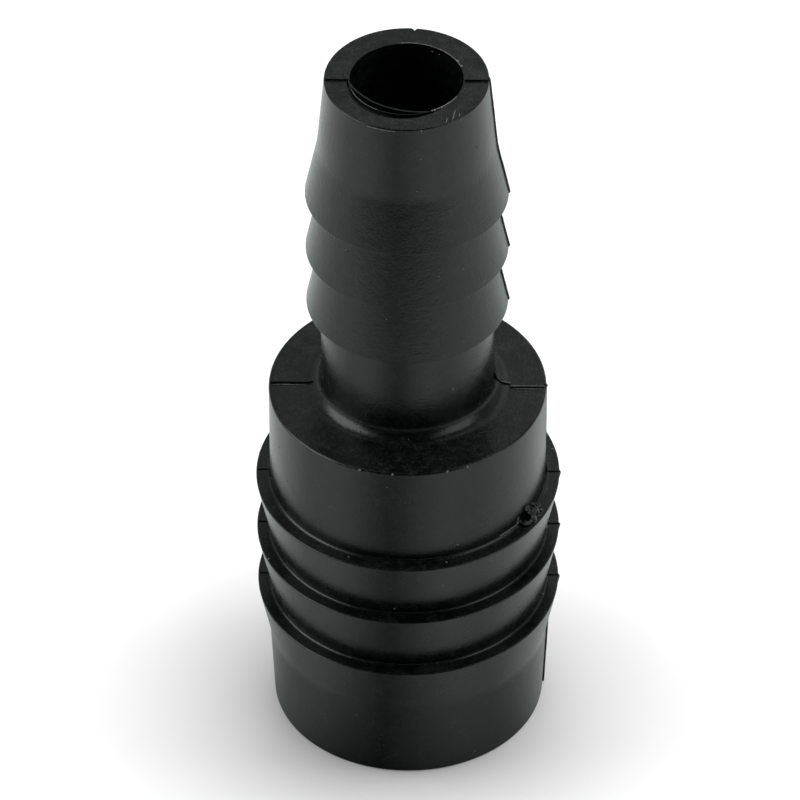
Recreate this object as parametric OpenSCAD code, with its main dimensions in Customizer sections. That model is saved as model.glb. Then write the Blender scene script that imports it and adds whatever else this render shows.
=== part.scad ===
// Hose barb reducer: a one-piece moulded joiner between a wide hose and a narrow one.
// It stands on its wide open end, with its axis on Z. The mould's two halves part on the
// XZ plane, and a core drawn out of each end leaves the waterway.

/* [Wide tail] */
// Outside diameter of the plain tube that carries the barbs
wide_tube_d = 31.0; // [28:0.1:34]
// Diameter over the barbs' crests
wide_barb_d = 34.2; // [32:0.1:40]
// Outside diameter at the open end, where the hose starts
wide_end_d = 30.7; // [26:0.1:30.9]
// Length of the plain lead-in, up to the first ramp
wide_lead_length = 10.0; // [4:0.1:20]
// Length of the first ramp, up to its crest
wide_ramp_length = 6.4; // [3:0.1:10]
// Distance from one crest to the next
wide_barb_pitch = 7.8; // [6:0.1:12]
// Number of barbs
wide_barb_count = 3; // [1:1:5]
// Diameter of the waterway through this tail
wide_bore_d = 25.4; // [18:0.1:26]

/* [Collar] */
// Length of the plain collar, from the last crest up to the shoulder
collar_length = 12.8; // [6:0.1:25]
// Radius of the fillet between the shoulder and the neck
neck_fillet = 1.8; // [0.5:0.1:2.2]
// Wall left between the neck's root and the funnel inside
funnel_wall = 2.9; // [2:0.1:4]
// Angle of the funnel's wall to the axis
funnel_angle = 45; // [35:1:60]

/* [Narrow tail] */
// Outside diameter of the neck, which is also the barbs' root
narrow_tube_d = 19.2; // [17:0.1:21]
// Diameter over the barbs' crests
narrow_barb_d = 22.4; // [21.5:0.1:25]
// Outside diameter at the tip's rim
narrow_end_d = 17.9; // [15:0.1:19]
// Length of the neck, from the shoulder up to the first barb
neck_length = 12.3; // [5:0.1:25]
// Distance from one crest to the next
narrow_barb_pitch = 7.6; // [5:0.1:12]
// Number of barbs
narrow_barb_count = 3; // [1:1:5]
// Length of the last ramp, from its crest up to the tapered tip
narrow_ramp_length = 6.6; // [3:0.1:10]
// Outside diameter where that ramp meets the tapered tip
narrow_tip_root_d = 19.6; // [18:0.1:21]
// Length of the tapered tip, up to the rim
narrow_tip_length = 9.1; // [4:0.1:20]
// Diameter of the waterway through this tail
narrow_bore_d = 12.3; // [8:0.1:14]

/* [Edges] */
// Radius on the barbs' crests and the rims' outer edges
crest_radius = 0.15; // [0.05:0.05:0.4]
// Radius in the corner under each wide barb's step
root_radius = 0.7; // [0.2:0.1:1]
// Radius in the corner under each narrow barb's step
narrow_root_radius = 0.4; // [0.1:0.1:0.8]
// Chamfer inside the wide open end
mouth_chamfer = 0.4; // [0.1:0.1:1]

/* [Moulding marks] */
// How far the flash on the parting line stands out sideways, on the side towards +X
flash_height = 0.16; // [0.06:0.02:0.4]
// How far the flash stands up from the faces that look upwards
flash_rise = 0.06; // [0.02:0.02:0.2]
// Thickness of the flash
flash_thickness = 0.16; // [0.08:0.02:0.4]
// Diameter of the broken gate stub beside the collar
gate_d = 1.9; // [1:0.1:3]
// How far the gate stub stands out of the collar's root
gate_height = 0.9; // [0.3:0.1:1.5]
// Direction of the gate stub round the axis, from +X
gate_angle = -27; // [-80:1:80]
// Greatest width of the crescent groove beside the narrow mouth, from the bore's edge out
shutoff_width = 0.95; // [0.4:0.05:1.2]
// How far the groove's circle stands off centre
shutoff_offset = 1.15; // [0.6:0.05:1.4]
// Depth of the groove below the rim
shutoff_depth = 0.5; // [0.1:0.05:0.8]
// Thickness of the lip left between the groove and the bore
shutoff_lip = 0.14; // [0.1:0.02:0.3]
// Direction in which the groove stands off centre, from +X
shutoff_angle = -115; // [-180:1:180]
// Width and depth of the nick in the rim's outer edge
nick_size = 0.5; // [0.2:0.1:1]
// Direction of the nick, from +X
nick_angle = 85; // [0:1:360]

/* [Hidden] */
$fn = 96;
// Largest turn between two facets of a rounded corner, in degrees
corner_step = 15;
// How far a cutter reaches past the surface that it opens
clear_cut = 1;

wide_tube_r = wide_tube_d / 2;
wide_barb_r = wide_barb_d / 2;
wide_bore_r = wide_bore_d / 2;
narrow_tube_r = narrow_tube_d / 2;
narrow_barb_r = narrow_barb_d / 2;
narrow_bore_r = narrow_bore_d / 2;
rim_r = narrow_end_d / 2;

// Heights of the steps, from the wide open end up
first_wide_crest_z = wide_lead_length + wide_ramp_length;
last_wide_crest_z = first_wide_crest_z + (wide_barb_count - 1) * wide_barb_pitch;
shoulder_z = last_wide_crest_z + collar_length;
first_narrow_crest_z = shoulder_z + neck_length;
last_narrow_crest_z = first_narrow_crest_z + (narrow_barb_count - 1) * narrow_barb_pitch;
tip_root_z = last_narrow_crest_z + narrow_ramp_length;
rim_z = tip_root_z + narrow_tip_length;

// Where the first ramp leaves the lead-in: it has the slope of the ramps between the barbs
wide_ramp_slope = (wide_barb_r - wide_tube_r) / wide_barb_pitch;
wide_ramp_foot_r = wide_barb_r - wide_ramp_slope * wide_ramp_length;

// Heights of the funnel's two ends, set by the wall left at the neck's root
funnel_top_z = shoulder_z + (narrow_tube_r - narrow_bore_r) / tan(funnel_angle)
    - funnel_wall / sin(funnel_angle);
funnel_foot_z = funnel_top_z - (wide_bore_r - narrow_bore_r) / tan(funnel_angle);
funnel_round = 1.2;

function unit(v) = v / norm(v);

// The points of an arc of radius rad that rounds the corner b between a and c
function rounded_corner(a, b, c, rad) =
    let (
        u = unit(a - b),
        v = unit(c - b),
        half = acos(u * v) / 2,
        centre = b + unit(u + v) * rad / sin(half),
        start = b + u * rad / tan(half) - centre,
        end = b + v * rad / tan(half) - centre,
        from = atan2(start.y, start.x),
        turn = ((atan2(end.y, end.x) - from + 540) % 360) - 180,
        steps = max(2, ceil(abs(turn) / corner_step))
    )
    [for (i = [0 : steps]) centre + rad * [cos(from + turn * i / steps), sin(from + turn * i / steps)]];

// An outline from a list of corners, each [radius from the axis, height, corner radius]
function outline(corners) =
    let (last = len(corners) - 1)
    [
        for (i = [0 : last])
            let (c = corners[i], here = [c.x, c.y])
            each (i == 0 || i == last || c.z == 0) ? [here] : rounded_corner(
                [corners[i - 1].x, corners[i - 1].y], here, [corners[i + 1].x, corners[i + 1].y], c.z
            )
    ];

// Wide barbs: each rises to a sharp crest and steps straight back in to the tube
function wide_barb_corners() = [
    for (i = [0 : wide_barb_count - 1])
        let (z = first_wide_crest_z + i * wide_barb_pitch)
        each [[wide_barb_r, z, crest_radius], [wide_tube_r, z, root_radius]]
];

// Narrow barbs: each steps straight out to its crest and then slopes in towards the tip
function narrow_barb_corners() = [
    for (i = [0 : narrow_barb_count - 1])
        let (z = first_narrow_crest_z + i * narrow_barb_pitch)
        each [[narrow_tube_r, z, narrow_root_radius], [narrow_barb_r, z, crest_radius]]
];

// Everything outside, from the axis at the open end up to the axis at the rim
function outer_corners() = [
    [0, 0, 0],
    [wide_end_d / 2, 0, crest_radius],
    [wide_ramp_foot_r, wide_lead_length, wide_lead_length / 2],
    each wide_barb_corners(),
    [wide_tube_r, shoulder_z, crest_radius],
    [narrow_tube_r, shoulder_z, neck_fillet],
    each narrow_barb_corners(),
    [narrow_tip_root_d / 2, tip_root_z, narrow_ramp_length],
    [rim_r, rim_z, crest_radius],
    [0, rim_z, 0],
];

// The waterway, which runs past both ends
function waterway_corners() = [
    [0, -clear_cut, 0],
    [wide_bore_r + mouth_chamfer + clear_cut, -clear_cut, 0],
    [wide_bore_r, mouth_chamfer, 0],
    [wide_bore_r, funnel_foot_z, funnel_round],
    [narrow_bore_r, funnel_top_z, funnel_round],
    [narrow_bore_r, rim_z + clear_cut, 0],
    [0, rim_z + clear_cut, 0],
];

module turned(corners) {
    rotate_extrude() polygon(outline(corners));
}

// Flash squeezed out where the mould's halves met: a thin blade with the moulding's own
// section, lifted by the flash's rise and, towards +X, pushed out by its height
module parting_flash() {
    for (side = [0, 180])
        rotate([90, 0, side])
            linear_extrude(flash_thickness, center = true)
                translate([side == 0 ? flash_height : 0, flash_rise])
                    polygon(outline(outer_corners()));
}

// The stub where the gate was broken off, leaning out of the collar's root, torn hollow
module gate_stub() {
    lean = 45;
    torn_r = gate_d * 0.4;
    torn_sink = torn_r * 0.4;
    rotate([0, 0, gate_angle]) translate([wide_tube_r, 0, last_wide_crest_z])
        rotate([0, lean, 0])
            difference() {
                translate([0, 0, -gate_height]) cylinder(h = 2 * gate_height, d = gate_d);
                translate([0, 0, gate_height + torn_sink]) sphere(r = torn_r);
            }
}

// The groove that the core's shut-off leaves beside the narrow mouth: a circle pressed in off
// centre, so that it shows as a crescent, with a thin lip between it and the bore
module shutoff_groove() {
    groove_r = narrow_bore_r + shutoff_width - shutoff_offset;
    groove_z = rim_z - shutoff_depth;
    groove_h = shutoff_depth + clear_cut;
    difference() {
        rotate([0, 0, shutoff_angle]) translate([shutoff_offset, 0, groove_z])
            cylinder(h = groove_h, r = groove_r);
        translate([0, 0, groove_z - clear_cut])
            cylinder(h = groove_h + 2 * clear_cut, r = narrow_bore_r + shutoff_lip);
    }
}

// A small V knocked into the rim's outer edge
module rim_nick() {
    rotate([0, 0, nick_angle]) translate([rim_r, 0, rim_z])
        rotate([0, 45, 0]) rotate([0, 0, 45])
            cube([nick_size, nick_size, 2 * nick_size], center = true);
}

// The whole moulding
module hose_reducer() {
    color([0.07, 0.07, 0.075])
        difference() {
            union() {
                turned(outer_corners());
                parting_flash();
                gate_stub();
            }
            turned(waterway_corners());
            shutoff_groove();
            rim_nick();
        }
}

hose_reducer();
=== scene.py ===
import math

import bpy
from mathutils import Matrix, Vector


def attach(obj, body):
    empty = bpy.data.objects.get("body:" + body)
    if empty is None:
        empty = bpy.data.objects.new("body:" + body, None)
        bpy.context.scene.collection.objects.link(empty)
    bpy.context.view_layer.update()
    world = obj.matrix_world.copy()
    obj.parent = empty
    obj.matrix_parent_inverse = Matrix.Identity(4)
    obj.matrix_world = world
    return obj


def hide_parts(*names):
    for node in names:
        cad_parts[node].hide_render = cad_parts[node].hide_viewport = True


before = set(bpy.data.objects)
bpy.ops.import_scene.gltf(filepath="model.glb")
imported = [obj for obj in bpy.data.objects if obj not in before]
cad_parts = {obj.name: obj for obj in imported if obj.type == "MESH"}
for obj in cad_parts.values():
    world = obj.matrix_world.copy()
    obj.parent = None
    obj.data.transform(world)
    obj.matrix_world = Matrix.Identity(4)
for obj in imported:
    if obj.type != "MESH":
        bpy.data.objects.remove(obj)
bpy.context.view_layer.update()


# The camera: a very long lens that looks down at the fitting from 40.5 degrees, with the
# frame centred a little above the middle of the collar.
look_down = math.radians(40.5)
turn = math.radians(1.0)
tilt = math.radians(-0.25)
away = 0.900
aim = Vector((-0.00085, 0.0051, 0.0380))
camera = bpy.data.objects.new("camera", bpy.data.cameras.new("camera"))
bpy.context.scene.collection.objects.link(camera)
camera.data.lens = 360
camera.data.sensor_width = 36
camera.data.clip_end = 20
stand = Matrix.Rotation(turn, 4, "Z") @ Matrix.Translation(aim)
stand = stand @ Matrix.Rotation(math.pi / 2 - look_down, 4, "X")
camera.matrix_world = stand @ Matrix.Translation((0, 0, away)) @ Matrix.Rotation(tilt, 4, "Z")
bpy.context.scene.camera = camera
bpy.context.scene.view_settings.view_transform = "Standard"


# The table: a wide white board. Where the camera or a reflection meets it, it adds a glow that
# brings it up to white away from the fitting. The glow is weak close to the fitting, which paints
# shade round its foot, and the fitting's shadow still darkens it.
def bare_tree(owner, output):
    """Empties the node tree of a material or of the world and gives it this output."""
    owner.use_nodes = True
    owner.node_tree.nodes.clear()
    return owner.node_tree, owner.node_tree.nodes.new(output)


def add_range(tree, value, low, high, out_low=0.0, out_high=1.0, eased=False):
    """Maps a value from low..high to out_low..out_high, eased in and out if wanted."""
    span = tree.nodes.new("ShaderNodeMapRange")
    span.interpolation_type = "SMOOTHSTEP" if eased else "LINEAR"
    numbers = {"From Min": low, "From Max": high, "To Min": out_low, "To Max": out_high}
    for label, number in numbers.items():
        span.inputs[label].default_value = number
    tree.links.new(value, span.inputs["Value"])
    return span.outputs["Result"]


def add_math(tree, kind, *values):
    """Works out one or two values, each of them a plain number or another node's output."""
    worked_out = tree.nodes.new("ShaderNodeMath")
    worked_out.operation = kind
    for socket, value in zip(worked_out.inputs, values):
        if isinstance(value, (int, float)):
            socket.default_value = value
        else:
            tree.links.new(value, socket)
    return worked_out.outputs[0]


def add_reach(tree, place):
    """How far a place is from the middle."""
    reach = tree.nodes.new("ShaderNodeVectorMath")
    reach.operation = "LENGTH"
    tree.links.new(place, reach.inputs[0])
    return reach.outputs["Value"]


bpy.ops.object.select_all(action="DESELECT")
bpy.ops.mesh.primitive_plane_add(size=6, location=(0, 0, 0))
table = bpy.context.active_object
table.name = "table"
board = bpy.data.materials.new("white_board")
tree, out = bare_tree(board, "ShaderNodeOutputMaterial")
spot = tree.nodes.new("ShaderNodeTexCoord")
seen = tree.nodes.new("ShaderNodeLightPath")
either = add_math(tree, "MAXIMUM", seen.outputs["Is Camera Ray"], seen.outputs["Is Glossy Ray"])
wall_radius, glow_radius = 0.017, 0.042
# Painted shade: the glow is faint at the fitting's wall and grows to full a few centimetres out.
glow_past_painted_shade = add_range(
    tree, add_reach(tree, spot.outputs["Object"]), wall_radius, glow_radius, 0.05, 0.25, eased=True)
paint = tree.nodes.new("ShaderNodeBsdfDiffuse")
paint.inputs["Color"].default_value = (0.8, 0.8, 0.8, 1)
glow = tree.nodes.new("ShaderNodeEmission")
tree.links.new(add_math(tree, "MULTIPLY", either, glow_past_painted_shade), glow.inputs["Strength"])
both = tree.nodes.new("ShaderNodeAddShader")
tree.links.new(paint.outputs[0], both.inputs[0])
tree.links.new(glow.outputs[0], both.inputs[1])
tree.links.new(both.outputs[0], out.inputs["Surface"])
table.data.materials.append(board)


# The sheet of painted shade: it lies on the table, and only reflections meet it. It paints a darker
# reflection into the middle of the upright walls, grows weaker and narrower farther out, and ends
# dark far in front.
bpy.ops.object.select_all(action="DESELECT")
bpy.ops.mesh.primitive_plane_add(size=2, location=(0, 0, 0))
sheet = bpy.context.active_object
sheet.name = "painted_shade_sheet"
sheet_lift = 0.0002
for corner in sheet.data.vertices:
    corner.co.z = sheet_lift
shade_film = bpy.data.materials.new("painted_shade_film")
tree, out = bare_tree(shade_film, "ShaderNodeOutputMaterial")
spot = tree.nodes.new("ShaderNodeTexCoord")
turned = tree.nodes.new("ShaderNodeMapping")
turned.inputs["Rotation"].default_value = (0, 0, math.radians(12))
parts = tree.nodes.new("ShaderNodeSeparateXYZ")
tree.links.new(spot.outputs["Object"], turned.inputs["Vector"])
tree.links.new(turned.outputs["Vector"], parts.inputs[0])
aside = add_math(tree, "ABSOLUTE", parts.outputs["X"])
ahead = add_math(tree, "MULTIPLY", parts.outputs["Y"], -1)

# How dark it is by direction, from straight in front (0) round to straight behind (1): darkest in
# front, clearest soon beside that, and dark again at the very back.
swing = add_math(tree, "DIVIDE", add_math(tree, "ARCTAN2", aside, ahead), math.pi)
shade = tree.nodes.new("ShaderNodeValToRGB")
shade.color_ramp.interpolation = "B_SPLINE"
stops = shade.color_ramp.elements
stops[0].color, stops[1].color = (0.97, 0.97, 0.97, 1), (1, 1, 1, 1)
for share, dark in ((0.2, 0.1), (0.34, 0.5), (0.46, 0.3), (0.66, 0.24), (0.83, 0.17)):
    stops.new(share).color = (dark, dark, dark, 1)
tree.links.new(swing, shade.inputs["Fac"])

near = add_reach(tree, spot.outputs["Object"])
weaker = add_range(tree, near, 0.06, 0.24, 1.0, 0.6)
narrower = add_range(tree, near, 0.06, 0.2, 1.0, 2.2)
pinched = add_math(tree, "POWER", shade.outputs["Color"], narrower)
far = add_range(tree, ahead, 0.13, 0.36, 0.0, 0.95, eased=True)
# Painted shade: where the sheet is dark it blots out the table's reflection, and elsewhere it lets
# the reflection through with a faint green tint.
clear = tree.nodes.new("ShaderNodeBsdfTransparent")
clear.inputs["Color"].default_value = (0.94, 1, 0.98, 1)
dim = tree.nodes.new("ShaderNodeEmission")
dim.inputs["Strength"].default_value = 0.0
film = tree.nodes.new("ShaderNodeMixShader")
weighed = add_math(tree, "MULTIPLY", pinched, weaker)
tree.links.new(add_math(tree, "MAXIMUM", weighed, far), film.inputs["Fac"])
tree.links.new(clear.outputs[0], film.inputs[1])
tree.links.new(dim.outputs[0], film.inputs[2])
tree.links.new(film.outputs[0], out.inputs["Surface"])
sheet.data.materials.append(shade_film)
sheet.visible_camera = False
sheet.visible_diffuse = False
sheet.visible_shadow = False
sheet.visible_transmission = False


# The room: pale behind and overhead, dark on the camera's side, and white wherever the camera
# looks straight at it.
room = bpy.data.worlds.new("room")
bpy.context.scene.world = room
tree, out = bare_tree(room, "ShaderNodeOutputWorld")
facing = tree.nodes.new("ShaderNodeTexCoord")
parts = tree.nodes.new("ShaderNodeSeparateXYZ")
tree.links.new(facing.outputs["Generated"], parts.inputs[0])
fade = add_range(tree, parts.outputs["Y"], -0.25, 0.6, 0.02, 0.38, eased=True)
air = tree.nodes.new("ShaderNodeBackground")
tree.links.new(fade, air.inputs["Strength"])
white = tree.nodes.new("ShaderNodeBackground")
white.inputs["Color"].default_value = (1, 1, 1, 1)
white.inputs["Strength"].default_value = 1.0
seen = tree.nodes.new("ShaderNodeLightPath")
choose = tree.nodes.new("ShaderNodeMixShader")
tree.links.new(seen.outputs["Is Camera Ray"], choose.inputs["Fac"])
tree.links.new(air.outputs[0], choose.inputs[1])
tree.links.new(white.outputs[0], choose.inputs[2])
tree.links.new(choose.outputs[0], out.inputs["Surface"])


# The lamps: a broad soft box overhead and one on each side, which leave no highlight, and three
# that only the plastic's sheen meets: a strip high up behind, and a window low down at the left and
# at the right. A small panel at the back lights the table and shows in the sheen.
def soft_box(name, place, size, power, on_table=True, in_gloss=True):
    lamp = bpy.data.lights.new(name, "AREA")
    lamp.shape = "RECTANGLE"
    lamp.size, lamp.size_y = size
    lamp.energy = power
    box = bpy.data.objects.new(name, lamp)
    bpy.context.scene.collection.objects.link(box)
    box.location = place
    fitting_middle = Vector((0, 0, 0.04))
    box.rotation_euler = (fitting_middle - Vector(place)).to_track_quat("-Z", "Y").to_euler()
    box.visible_diffuse = on_table
    box.visible_glossy = in_gloss


soft_box("overhead", (0.10, 0.15, 1.1), (1.1, 0.9), 12.5, in_gloss=False)
soft_box("left_side", (-0.85, 0.05, 0.6), (0.6, 0.6), 3.0, in_gloss=False)
soft_box("right_side", (0.9, 0.1, 0.6), (0.6, 0.6), 3.0, in_gloss=False)
soft_box("high_strip", (0.05, 0.25, 1.1), (1.2, 0.4), 0.8, on_table=False)
soft_box("left_window", (-0.85, -0.15, 0.48), (0.8, 0.8), 6.2, on_table=False)
soft_box("right_window", (0.78, -0.36, 0.46), (0.65, 0.75), 2.3, on_table=False)
soft_box("back_panel", (0.15, 0.36, 0.34), (0.26, 0.2), 0.07)


# The moulding: one piece of black satin plastic, shot into a mould of two halves with a core
# drawn out of each end. Its rings are drawn up from the open end, in over the rim and down the
# waterway, and closed on the first one; then the crests, roots and fillets are rounded.
mm = 0.001
wide_tube, wide_crest, wide_bore = 15.5, 17.1, 12.7
narrow_tube, narrow_crest, narrow_bore = 9.6, 11.2, 6.15
shoulder, rim = 44.8, 88.0
open_radius, rim_radius = 15.35, 8.95
ramp_foot, tip_root = (15.79, 10.0), (9.8, 78.9)
funnel_foot, funnel_top = 37.6, 44.15
mouth_chamfer = 0.4
wide_steps = [16.4, 24.2, 32.0]
narrow_steps = [57.1, 64.7, 72.3]
around = 240

outside = [(open_radius, 0), ramp_foot]
for step in wide_steps:
    outside += [(wide_crest, step), (wide_tube, step)]
outside += [(wide_tube, shoulder), (narrow_tube, shoulder)]
for step in narrow_steps:
    outside += [(narrow_tube, step), (narrow_crest, step)]
outside += [tip_root, (rim_radius, rim)]
inside = [(narrow_bore, rim), (narrow_bore, funnel_top), (wide_bore, funnel_foot),
          (wide_bore, mouth_chamfer), (wide_bore + mouth_chamfer, 0)]

bpy.ops.object.select_all(action="DESELECT")
bpy.ops.mesh.primitive_circle_add(vertices=around, radius=outside[0][0] * mm, location=(0, 0, 0))
moulding = bpy.context.active_object
moulding.name = "moulding"
bpy.ops.object.mode_set(mode="EDIT")
bpy.ops.mesh.select_mode(type="VERT")
bpy.ops.mesh.select_all(action="SELECT")
last_r, last_z = outside[0]
for r, z in outside[1:] + inside:
    bpy.ops.mesh.extrude_region_move(TRANSFORM_OT_translate={"value": (0, 0, (z - last_z) * mm)})
    bpy.ops.transform.resize(value=(r / last_r, r / last_r, 1), center_override=(0, 0, z * mm))
    last_r, last_z = r, z
bpy.ops.object.mode_set(mode="OBJECT")


def pick_rings(piece, rings, slack=0.02):
    """Selects the edges that lie all round on each ring (radius, height), in millimetres."""
    bpy.ops.object.mode_set(mode="EDIT")
    bpy.ops.mesh.select_mode(type="EDGE")
    bpy.ops.mesh.select_all(action="DESELECT")
    bpy.ops.object.mode_set(mode="OBJECT")
    mesh = piece.data
    for edge in mesh.edges:
        a, b = (mesh.vertices[i].co / mm for i in edge.vertices)
        if abs(a.z - b.z) > slack:
            continue
        ra, rb = a.xy.length, b.xy.length
        if abs(ra - rb) > slack:
            continue
        edge.select = any(abs(ra - r) < slack and abs(a.z - z) < slack for r, z in rings)
    bpy.ops.object.mode_set(mode="EDIT")


pick_rings(moulding, [outside[0], inside[-1]])
bpy.ops.mesh.bridge_edge_loops()
bpy.ops.mesh.select_all(action="SELECT")
bpy.ops.mesh.normals_make_consistent(inside=False)
bpy.ops.object.mode_set(mode="OBJECT")

# Each set of rings with its rounding's width in millimetres and the number of facets.
crests = [(wide_crest, z) for z in wide_steps] + [(narrow_crest, z) for z in narrow_steps]
rounded = [
    (crests, 0.2, 4),
    ([(wide_tube, shoulder)], 0.3, 4),
    ([(rim_radius, rim), (open_radius, 0)], 0.15, 3),
    ([(wide_tube, z) for z in wide_steps], 0.4, 4),
    ([(narrow_tube, z) for z in narrow_steps], 0.4, 4),
    ([(narrow_tube, shoulder)], 1.8, 10),
    ([ramp_foot], 0.6, 4),
    ([tip_root], 0.6, 4),
    ([(narrow_bore, rim)], 0.1, 2),
    ([(narrow_bore, funnel_top), (wide_bore, funnel_foot)], 0.5, 4),
]
for rings, width, cuts in rounded:
    pick_rings(moulding, rings)
    bpy.ops.mesh.bevel(offset=width * mm, offset_type="OFFSET", segments=cuts, profile=0.5)
    bpy.ops.object.mode_set(mode="OBJECT")


def outline_edges(piece, longest):
    """Selects the edges along the outside that are longer than this, and counts them."""
    bpy.ops.object.mode_set(mode="EDIT")
    bpy.ops.mesh.select_mode(type="EDGE")
    bpy.ops.mesh.select_all(action="DESELECT")
    bpy.ops.object.mode_set(mode="OBJECT")
    found = 0
    for edge in piece.data.edges:
        a, b = (piece.data.vertices[i].co / mm for i in edge.vertices)
        ra, rb = a.xy.length, b.xy.length
        outer = all(
            r > 15.2 or (z > shoulder - 0.1 and r > 8.7) for r, z in ((ra, a.z), (rb, b.z)))
        flat = a.z > rim - 0.2 and b.z > rim - 0.2
        along = abs(ra - rb) > 0.01 or abs(a.z - b.z) > 0.01
        edge.select = along and (outer or flat) and (a - b).length > longest
        found += edge.select
    bpy.ops.object.mode_set(mode="EDIT")
    return found


# The long runs of the outline get rings about 1 mm apart, so that the marks below can follow them.
while outline_edges(moulding, 1.3):
    bpy.ops.mesh.subdivide(number_cuts=1)
    bpy.ops.object.mode_set(mode="OBJECT")
bpy.ops.object.mode_set(mode="OBJECT")


# The parting line: where the mould's halves met, a film of flash was squeezed out. Two cuts mark
# off a strip at each side, which is then drawn out, further on the side towards +X, and roughened.
flash_half = 0.08
wall_line, rim_line, shoulder_line = 0.0, -0.33, -0.5


def line_at(x, z):
    """Where the parting line runs: a little in front of the axis on the rim and the shoulder."""
    if abs(z - rim) < 0.01:
        return rim_line
    return shoulder_line if x > 0 and abs(z - shoulder) < 0.01 else wall_line


for line in (wall_line, rim_line, shoulder_line):
    bpy.ops.object.mode_set(mode="EDIT")
    bpy.ops.mesh.select_mode(type="FACE")
    for side in (-1, 1):
        bpy.ops.mesh.select_all(action="DESELECT")
        bpy.ops.object.mode_set(mode="OBJECT")
        for face in moulding.data.polygons:
            x, y, z = face.center / mm
            near_line = line_at(x, z) == line and abs(y) < 3 and abs(x) > 6.3
            face.select = line == wall_line or near_line
        bpy.ops.object.mode_set(mode="EDIT")
        bpy.ops.mesh.bisect(
            plane_co=(0, (line + side * flash_half) * mm, 0), plane_no=(0, 1, 0), threshold=1e-6)
bpy.ops.object.mode_set(mode="OBJECT")


def in_strip(face, right):
    """True for a strip's outer faces on one side, as the two cuts leave them."""
    corners = [moulding.data.vertices[i].co / mm for i in face.vertices]
    middle = face.center / mm
    line = line_at(middle.x, middle.z)
    between = all(abs(c.y - line) < flash_half + 0.01 for c in corners)
    this_side = (middle.x > 0) == right
    outward = face.normal.x * (1 if right else -1) > 0.05 or face.normal.z > 0.5
    bore = middle.z < shoulder - 1 and middle.xy.length < 15.2
    mouth = all(c.xy.length < narrow_bore + 0.11 for c in corners)
    return between and this_side and outward and not bore and not mouth and middle.z > 0.1


def pick_flash(right, flat=False, low=0.1, high=100.0):
    """Selects the marked strip on one side, between two heights; flat takes level faces only."""
    bpy.ops.object.mode_set(mode="EDIT")
    bpy.ops.mesh.select_all(action="DESELECT")
    bpy.ops.object.mode_set(mode="OBJECT")
    for face in moulding.data.polygons:
        middle = face.center / mm
        level = face.normal.z > 0.9
        outward = level or face.normal.x * (1 if right else -1) > 0.05
        face.select = (face.material_index == 1 and (middle.x > 0) == right and outward
                       and low < middle.z < high and (level or not flat))
    bpy.ops.object.mode_set(mode="EDIT")


moulding.data.materials.append(bpy.data.materials.new("black_plastic"))
moulding.data.materials.append(bpy.data.materials.new("torn_plastic_and_painted_highlight"))
for face in moulding.data.polygons:
    face.material_index = 1 if in_strip(face, True) or in_strip(face, False) else 0

# The film stands highest on the rim, and hardly shows on the collar and on the neck. Each row has
# the lowest and highest place and how far the film is moved there.
lifts = ((rim - 0.1, 100, 0.17), (shoulder - 0.1, shoulder + 0.5, 0.12), (16, 34, 0.07))
pushes = ((33.5, shoulder - 0.4, -0.12), (0.1, 14.0, 0.07), (46.7, 56.8, -0.14))
for right in (True, False):
    pick_flash(right, flat=not right)
    bpy.ops.mesh.extrude_region_shrink_fatten(TRANSFORM_OT_shrink_fatten={"value": 0.05 * mm})
    if right:
        bpy.ops.transform.translate(value=(0.11 * mm, 0, 0))
    for low, high, lift in lifts:
        pick_flash(right, flat=True, low=low, high=high)
        bpy.ops.transform.translate(value=(0, 0, lift * mm))
    for low, high, push in pushes if right else ():
        pick_flash(right, low=low, high=high)
        bpy.ops.transform.translate(value=(push * mm, 0, 0))
    pick_flash(right, flat=not right)
    bpy.ops.transform.vertex_random(offset=(0.03 if right else 0.06) * mm, seed=4 + right)

# The shoulder's edge was knocked about in front, at the left.
bpy.ops.mesh.select_mode(type="VERT")
bpy.ops.mesh.select_all(action="DESELECT")
bpy.ops.object.mode_set(mode="OBJECT")
for corner in moulding.data.vertices:
    x, y, z = corner.co / mm
    corner.select = (abs(z - shoulder) < 0.2 and math.hypot(x, y) > 15.2
                     and -148 < math.degrees(math.atan2(y, x)) < -72)
bpy.ops.object.mode_set(mode="EDIT")
bpy.ops.transform.vertex_random(offset=0.02 * mm, seed=9)
bpy.ops.mesh.select_mode(type="FACE")
bpy.ops.object.mode_set(mode="OBJECT")


# The marks at the narrow mouth: the core's shut-off pressed a crescent groove in off centre,
# which left a thin lip, and a film of flash stands across the mouth's front left.
def on_axis(angle, radius, height):
    """A place in metres, from its angle and from its radius and height in millimetres."""
    turned = math.radians(angle)
    return (radius * math.cos(turned) * mm, radius * math.sin(turned) * mm, height * mm)


def cut(piece, tool, operation="DIFFERENCE"):
    """Cuts a piece with a tool, or joins the two, and does away with the tool."""
    step = piece.modifiers.new("cut", "BOOLEAN")
    step.operation = operation
    step.object = tool
    step.solver = "EXACT"
    bpy.ops.object.select_all(action="DESELECT")
    bpy.context.view_layer.objects.active = piece
    piece.select_set(True)
    bpy.ops.object.modifier_apply(modifier=step.name)
    bpy.data.objects.remove(tool)
    bpy.ops.object.mode_set(mode="EDIT")
    bpy.ops.mesh.select_all(action="SELECT")
    bpy.ops.mesh.remove_doubles(threshold=2e-6)
    bpy.ops.object.mode_set(mode="OBJECT")


def drum(radius, low, high, centre=(0, 0), around=200):
    """An upright cylinder between two heights, all in millimetres."""
    bpy.ops.object.select_all(action="DESELECT")
    bpy.ops.mesh.primitive_cylinder_add(
        vertices=around, radius=radius * mm, depth=(high - low) * mm,
        location=(centre[0] * mm, centre[1] * mm, (low + high) / 2 * mm))
    made = bpy.context.active_object
    bpy.ops.object.transform_apply(location=True)
    return made


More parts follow.
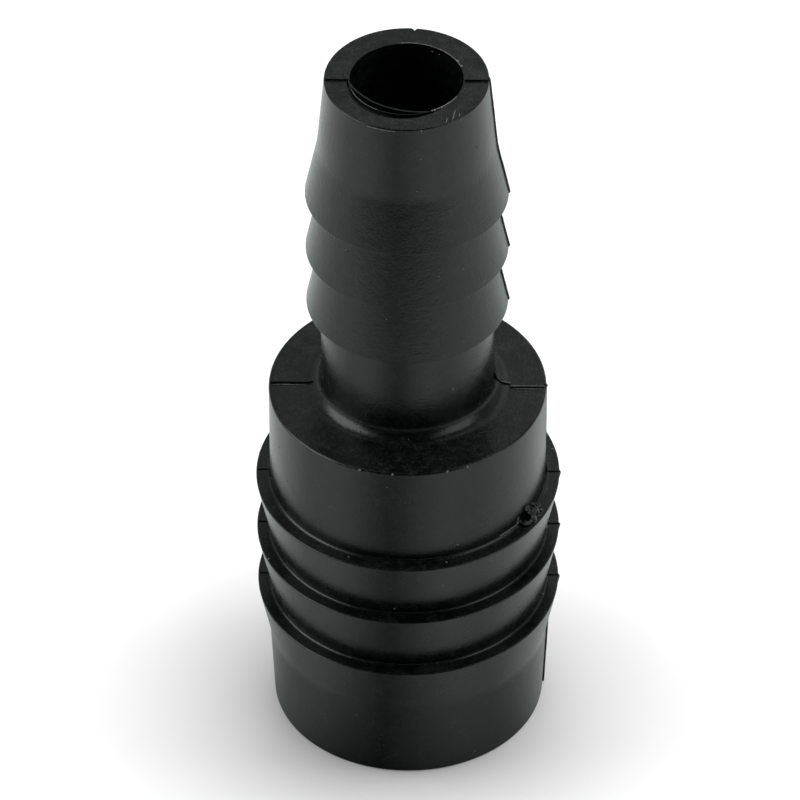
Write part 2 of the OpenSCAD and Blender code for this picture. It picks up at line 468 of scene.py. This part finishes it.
off_centre = [c / mm for c in on_axis(-115, 1.15, 0)[:2]]
groove = drum(5.95, rim - 0.5, rim + 1, off_centre)
bpy.ops.object.mode_set(mode="EDIT")
bpy.ops.mesh.select_all(action="SELECT")
bpy.ops.transform.vertex_random(offset=0.07 * mm, seed=6)
bpy.ops.object.mode_set(mode="OBJECT")
cut(groove, drum(narrow_bore + 0.14, rim - 2, rim + 3))
cut(moulding, groove)

film_centre, film_inner, film_outer = (1.63, 2.81), 8.53, 8.72
film = drum(film_outer, rim - 1.6, rim + 0.02, film_centre, 400)
cut(film, drum(film_inner, rim - 2, rim + 1, film_centre, 400))
cut(film, drum(narrow_bore + 0.07, rim - 3, rim + 2), "INTERSECT")
cut(moulding, film, "UNION")

bpy.ops.object.select_all(action="DESELECT")
nick_angle = 85
bpy.ops.mesh.primitive_cube_add(size=0.5 * mm, location=on_axis(nick_angle, rim_radius, rim))
nick = bpy.context.active_object
eighth_turn = math.radians(45)
nick.rotation_euler = (
    Matrix.Rotation(math.radians(nick_angle), 3, "Z") @ Matrix.Rotation(eighth_turn, 3, "Y")
    @ Matrix.Rotation(eighth_turn, 3, "Z")).to_euler()
nick.scale = (1, 1, 2)
cut(moulding, nick)


# The gate scar, where the sprue was broken off in the corner over the top wide barb: a low torn
# mound with a deep round pit in it and smaller pits and crumbs beside.
ragged = bpy.data.textures.new("ragged", "CLOUDS")
ragged.noise_scale = 0.45 * mm
ragged.noise_depth = 2


def torn_lump(angle, radius, height, size, flat, rough):
    """A ragged lump that leans out of the corner, squashed by flat and torn by rough."""
    bpy.ops.object.select_all(action="DESELECT")
    bpy.ops.mesh.primitive_ico_sphere_add(subdivisions=5 if size > 0.8 else 4, radius=size * mm)
    lump = bpy.context.active_object
    lump.scale = (flat, 1, 1)
    lump.rotation_euler = (0, math.radians(-45), math.radians(angle))
    lump.location = on_axis(angle, radius, height)
    bpy.ops.object.transform_apply(location=True, rotation=True, scale=True)
    tear = lump.modifiers.new("tear", "DISPLACE")
    tear.texture = ragged
    tear.texture_coords = "LOCAL"
    tear.strength = rough * mm
    bpy.ops.object.modifier_apply(modifier=tear.name)
    return lump


mounds = (
    (-28.6, 15.75, 32.25, 1.4, 0.55, 0.5), (-33.3, 15.85, 32.45, 0.86, 0.62, 0.25),
    (-24.8, 16.5, 32.05, 0.34, 0.7, 0.3), (-30.2, 16.6, 32.05, 0.3, 0.7, 0.3),
    (-35.6, 15.65, 32.5, 0.3, 0.7, 0.2), (-31.5, 15.6, 33.6, 0.42, 0.7, 0.3),
    (-24.0, 15.9, 32.5, 0.45, 0.7, 0.4))
pits = (
    (-33.3, 16.0, 32.9, 0.56, 2.2, 0.12), (-27.2, 16.1, 33.4, 0.2, 5, 0.08),
    (-25.6, 16.3, 33.1, 0.17, 5, 0.08), (-27.6, 16.7, 32.8, 0.15, 5, 0.08),
    (-28.6, 16.7, 32.6, 0.15, 5, 0.08))
for mound in mounds:
    cut(moulding, torn_lump(*mound), "UNION")
for pit in pits:
    cut(moulding, torn_lump(*pit))


# The plastic: black all through, with the fine satin grain of the mould, cloudy handling marks on
# the level faces, and a rougher, paler skin where it was torn or squeezed thin. On the thin edges
# at the mouth and on the shoulder's flash, that paler skin is also painted highlight.
def new_group(name, output):
    """A node group that takes a place in millimetres and gives one number."""
    group = bpy.data.node_groups.new(name, "ShaderNodeTree")
    group.interface.new_socket(name="Place", in_out="INPUT", socket_type="NodeSocketVector")
    group.interface.new_socket(name=output, in_out="OUTPUT", socket_type="NodeSocketFloat")
    given = group.nodes.new("NodeGroupInput")
    return group, given.outputs["Place"], group.nodes.new("NodeGroupOutput").inputs[output]


def add_noise(group, place, scale, detail=2.0, rough=0.5):
    noise = group.nodes.new("ShaderNodeTexNoise")
    noise.inputs["Scale"].default_value = scale
    noise.inputs["Detail"].default_value = detail
    noise.inputs["Roughness"].default_value = rough
    group.links.new(place, noise.inputs["Vector"])
    return noise.outputs["Fac"]


# Mould grain: the fine pits of a spark-cut mould, about a quarter of a millimetre across.
grain, place, height = new_group("mould_grain", "Height")
fine = add_math(grain, "MULTIPLY", add_noise(grain, place, 3.6, 3.0, 0.6), 0.7)
broad = add_math(grain, "MULTIPLY", add_noise(grain, place, 0.9, 2.0), 0.5)
grain.links.new(add_math(grain, "ADD", fine, broad), height)

# Handling marks: soft clouds a few millimetres across, broken up by finer ones.
clouds, place, marks = new_group("handling_marks", "Marks")
large = add_range(clouds, add_noise(clouds, place, 0.28, 3.0, 0.6), 0.38, 0.64)
small = add_range(clouds, add_noise(clouds, place, 1.7, 4.0, 0.7), 0.3, 0.7)
clouds.links.new(add_math(clouds, "MULTIPLY", large, small), marks)

# Scuffs: short fine lines that run round the fitting, where it rubbed against others in a box.
scuffs, place, scratched = new_group("scuffs", "Lines")
tilted = scuffs.nodes.new("ShaderNodeMapping")
tilted.inputs["Rotation"].default_value = (0.12, 0.25, 0.3)
tilted.inputs["Scale"].default_value = (0.22, 0.22, 5.0)
scuffs.links.new(place, tilted.inputs["Vector"])
lines = add_range(scuffs, add_noise(scuffs, tilted.outputs["Vector"], 1.0, 3.0, 0.55), 0.61, 0.69)
zones = add_range(scuffs, add_noise(scuffs, place, 0.16, 1.0), 0.45, 0.58)
scuffs.links.new(add_math(scuffs, "MULTIPLY", lines, zones), scratched)

# Dust: single pale specks, scattered some millimetres apart.
dust, place, sprinkled = new_group("dust", "Specks")
cells = dust.nodes.new("ShaderNodeTexVoronoi")
cells.inputs["Scale"].default_value = 0.42
dust.links.new(place, cells.inputs["Vector"])
dust.links.new(add_range(dust, cells.outputs["Distance"], 0.036, 0.018), sprinkled)


def dress(material, base, pale, rough, haze, bump, speck=(0.16, 0.16, 0.155, 1)):
    """Gives a plastic its colour, its cloudy pale marks, its satin and its grain."""
    material.use_nodes = True
    tree = material.node_tree
    body = tree.nodes["Principled BSDF"]
    body.inputs["Specular IOR Level"].default_value = 0.42
    body.inputs["IOR"].default_value = 1.5
    place = tree.nodes.new("ShaderNodeTexCoord")
    in_mm = tree.nodes.new("ShaderNodeMapping")
    in_mm.inputs["Scale"].default_value = (1000, 1000, 1000)
    tree.links.new(place.outputs["Object"], in_mm.inputs["Vector"])
    effects = []
    for group in (grain, clouds, scuffs, dust):
        node = tree.nodes.new("ShaderNodeGroup")
        node.node_tree = group
        tree.links.new(in_mm.outputs["Vector"], node.inputs["Place"])
        effects.append(node.outputs[0])
    pitted, hazy, scuffed, dusty = effects

    # The marks show best on the faces that look straight up.
    facing = tree.nodes.new("ShaderNodeSeparateXYZ")
    tree.links.new(place.outputs["Normal"], facing.inputs[0])
    upward = add_range(tree, facing.outputs["Z"], 0.85, 0.98, 0.45, 1.0)
    marked = add_math(tree, "MULTIPLY", hazy, upward)
    worn = add_math(tree, "MAXIMUM", add_math(tree, "MULTIPLY", marked, haze),
                    add_math(tree, "MULTIPLY", scuffed, 0.45))
    worn = add_math(tree, "ADD", worn, add_range(tree, pitted, 0.57, 0.78, 0.0, 0.75))
    tint = tree.nodes.new("ShaderNodeMix")
    tint.data_type = "RGBA"
    tint.inputs["A"].default_value = base
    tint.inputs["B"].default_value = pale
    tree.links.new(worn, tint.inputs["Factor"])
    dusted = tree.nodes.new("ShaderNodeMix")
    dusted.data_type = "RGBA"
    dusted.inputs["B"].default_value = speck
    tree.links.new(dusty, dusted.inputs["Factor"])
    tree.links.new(tint.outputs["Result"], dusted.inputs["A"])
    tree.links.new(dusted.outputs["Result"], body.inputs["Base Color"])

    satin = add_math(tree, "ADD", rough, add_math(tree, "MULTIPLY", marked, 0.14))
    satin = add_math(tree, "ADD", satin, add_math(tree, "MULTIPLY", pitted, 0.05))
    tree.links.new(satin, body.inputs["Roughness"])
    relief = tree.nodes.new("ShaderNodeBump")
    relief.inputs["Distance"].default_value = bump * mm
    relief.inputs["Strength"].default_value = 1.0
    sunk = add_math(tree, "MULTIPLY", scuffed, 0.12)
    tree.links.new(add_math(tree, "SUBTRACT", pitted, sunk), relief.inputs["Height"])
    tree.links.new(relief.outputs["Normal"], body.inputs["Normal"])


plastic, torn_and_highlit = moulding.data.materials
dress(plastic, (0.0008, 0.0022, 0.0018, 1), (0.014, 0.0155, 0.015, 1), 0.2, 0.5, 0.034)
# The paler copy is torn plastic on the scar, and partly painted highlight on the thin film, lip and
# flash.
dress(torn_and_highlit, (0.045, 0.046, 0.045, 1), (0.1, 0.1, 0.1, 1), 0.42, 1.0, 0.03)

# Torn and thin places: the film and the lip at the mouth, the flash on the shoulder, and three
# crumbs of the scar. On the crumbs the paler skin is torn plastic. On the film, the lip and the
# flash it is partly thin plastic and partly painted highlight along their edges.
film_middle = (film_inner + film_outer) / 2
crumb_reach = 0.38 * mm
crumbs = [Vector(on_axis(*place)) for place in (
    (-26.0, 16.6, 32.6), (-30.6, 16.7, 32.3), (-35.6, 15.7, 32.4))]
for face in moulding.data.polygons:
    x, y, z = face.center / mm
    r, angle = math.hypot(x, y), math.degrees(math.atan2(y, x))
    from_film = abs(math.hypot(x - film_centre[0], y - film_centre[1]) - film_middle)
    film_face = z > rim - 0.1 and r < 6.12 and face.normal.z > 0.7 and from_film < 0.12
    lip_face = z > rim - 0.02 and 6.14 < r < 6.31 and -160 < angle < -120
    on_shoulder = 10.5 < abs(x) < 15.45 and shoulder - 0.1 < z < shoulder + 0.5
    # Painted highlight: on the right the flash's top faces take the paler skin, and on the left the
    # faces turned towards the camera take it.
    shown = face.normal.z > 0.9 if x > 0 else face.normal.y < -0.5
    fin_face = face.material_index == 1 and on_shoulder and shown
    scar_face = any((face.center - crumb).length < crumb_reach for crumb in crumbs)
    face.material_index = 1 if film_face or lip_face or fin_face or scar_face else 0

bpy.ops.object.select_all(action="DESELECT")
moulding.select_set(True)
bpy.context.view_layer.objects.active = moulding
bpy.ops.object.shade_smooth_by_angle(angle=math.radians(35))


def resize(times):
    """Resizes the active piece's mesh about the origin."""
    bpy.ops.object.mode_set(mode="EDIT")
    bpy.ops.mesh.select_all(action="SELECT")
    bpy.ops.transform.resize(value=(times, times, times), center_override=(0, 0, 0))
    bpy.ops.object.mode_set(mode="OBJECT")


# The level faces keep one even normal up to their rounded edges. Faces as small as these count for
# nothing in the weights, so the mesh is made a thousand times larger for them and set back.
even = moulding.modifiers.new("even", "WEIGHTED_NORMAL")
even.mode = "FACE_AREA"
even.weight = 80
even.thresh = 0.05
even.keep_sharp = True
resize(1000)
bpy.ops.object.modifier_apply(modifier=even.name)
resize(0.001)
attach(moulding, "root")
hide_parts("hose_reducer")


# The flecks: bits of dust and thin pale shavings of the same plastic, left on the fitting after it
# was trimmed, and two pale strips that are painted glints, one along the mouth's back edge and one
# in the root fillet beside the scar. Each is a small lump or sliver that lies on the surface or
# along an edge.
def fleck(angle, radius, height, size, seed):
    """A crumpled bit of dust; angle in degrees, the other sizes in millimetres."""
    bpy.ops.object.select_all(action="DESELECT")
    bpy.ops.mesh.primitive_ico_sphere_add(
        subdivisions=2, radius=size * mm, location=on_axis(angle, radius, height))
    bpy.ops.object.mode_set(mode="EDIT")
    bpy.ops.mesh.select_all(action="SELECT")
    bpy.ops.transform.vertex_random(offset=0.3 * size * mm, seed=seed)
    bpy.ops.object.mode_set(mode="OBJECT")
    return bpy.context.active_object


def sliver(start, end, width):
    """A straight shaving between two places (angle, radius, height)."""
    first, last = Vector(on_axis(*start)), Vector(on_axis(*end))
    bpy.ops.object.select_all(action="DESELECT")
    bpy.ops.mesh.primitive_ico_sphere_add(subdivisions=3, radius=1, location=(first + last) / 2)
    made = bpy.context.active_object
    made.scale = ((last - first).length / 2, width / 2 * mm, width / 2 * mm)
    made.rotation_euler = (last - first).to_track_quat("X", "Z").to_euler()
    return made


def curl(start, end, radius, height, width):
    """A pale strip that follows an edge round the axis, from one angle to another: mostly a
    shaving, and in two places a painted glint.
    """
    bpy.ops.object.select_all(action="DESELECT")
    bpy.ops.mesh.primitive_circle_add(
        vertices=8, radius=width / 2 * mm, fill_type="NGON",
        location=on_axis(start, radius, height), rotation=(math.pi / 2, 0, math.radians(start)))
    made = bpy.context.active_object
    bpy.ops.object.transform_apply(location=True, rotation=True)
    bpy.ops.object.mode_set(mode="EDIT")
    bpy.ops.mesh.select_all(action="SELECT")
    bpy.ops.mesh.spin(steps=max(6, int(abs(end - start) / 2)), angle=math.radians(start - end),
                      center=(0, 0, 0), axis=(0, 0, 1))
    bpy.ops.mesh.select_all(action="SELECT")
    bpy.ops.mesh.remove_doubles(threshold=1e-6)
    bpy.ops.mesh.normals_make_consistent(inside=False)
    bpy.ops.transform.vertex_random(offset=0.15 * width * mm, seed=3)
    bpy.ops.object.mode_set(mode="OBJECT")
    return made


specks = (
    (-35.0, 9.45, 82.9, 0.10), (-130.2, 10.02, 70.3, 0.11), (-102.1, 10.1, 62.4, 0.10),
    (-58.0, 9.62, 51.0, 0.12), (-109.2, 15.5, 44.65, 0.13), (-95.3, 15.48, 44.72, 0.12),
    (-72.7, 15.49, 44.7, 0.11), (-64.0, 15.5, 44.6, 0.12), (12.8, 16.68, 32.05, 0.13),
    (-73.9, 16.25, 32.05, 0.11), (-113.2, 16.2, 32.05, 0.10), (-68.4, 15.52, 33.6, 0.10),
    (-11.8, 15.98, 26.5, 0.10), (-94.7, 15.7, 25.1, 0.10), (-13.6, 15.75, 16.7, 0.12),
    (-157.2, 16.9, 24.25, 0.12), (28.9, 6.3, 88.0, 0.14), (20.0, 6.33, 88.0, 0.12),
    (-60.6, 6.3, 88.0, 0.13), (-52.4, 6.3, 88.0, 0.12), (63.5, 6.16, 87.4, 0.10),
    (55.2, 6.16, 87.35, 0.10), (-78.9, 8.98, 87.75, 0.10), (-49.0, 8.98, 87.7, 0.10),
    (-59.3, 8.62, 88.02, 0.08), (-24.8, 16.55, 32.3, 0.12), (-30.0, 16.6, 32.2, 0.11))
slivers = (
    ((-55.5, 8.85, 88.0), (-45.0, 7.55, 88.0), 0.10),
    ((-60.7, 8.85, 88.0), (-56.5, 8.1, 88.0), 0.08),
    ((-48.5, 8.8, 87.98), (-46.0, 8.3, 88.0), 0.08),
    ((-178.6, 15.2, 44.83), (-177.6, 11.0, 44.83), 0.09),
    ((-3.2, 15.4, 44.83), (-4.2, 11.6, 44.83), 0.09))
# Painted glints: the curl along the mouth's back edge, from 19 to 96 degrees, and the one in the
# root fillet beside the scar stand for light caught by those edges. The others are shavings.
curls_and_glints = (
    (-117, -97, 8.97, 87.75, 0.09), (19, 96, 6.24, 88.0, 0.09),
    (-64, -30, 6.26, 88.0, 0.12), (-48, -36.5, 15.56, 32.42, 0.08))
bits = [fleck(*place, seed) for seed, place in enumerate(specks, start=20)]
bits += [sliver(*ends) for ends in slivers]
bits += [curl(*run) for run in curls_and_glints]
bpy.ops.object.select_all(action="DESELECT")
for bit in bits:
    bit.select_set(True)
flecks = bits[0]
bpy.context.view_layer.objects.active = flecks
bpy.ops.object.transform_apply(location=True, rotation=True, scale=True)
bpy.ops.object.join()
flecks.name = "flecks"
bpy.ops.object.shade_smooth_by_angle(angle=math.radians(40))
# The pale colour is dust and shavings, and on two of the curls a painted glint.
shavings_and_glints = bpy.data.materials.new("pale_shavings_and_glints")
dress(shavings_and_glints, (0.10, 0.10, 0.098, 1), (0.2, 0.2, 0.195, 1), 0.5, 1.0, 0.01)
flecks.data.materials.append(shavings_and_glints)
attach(flecks, "root")
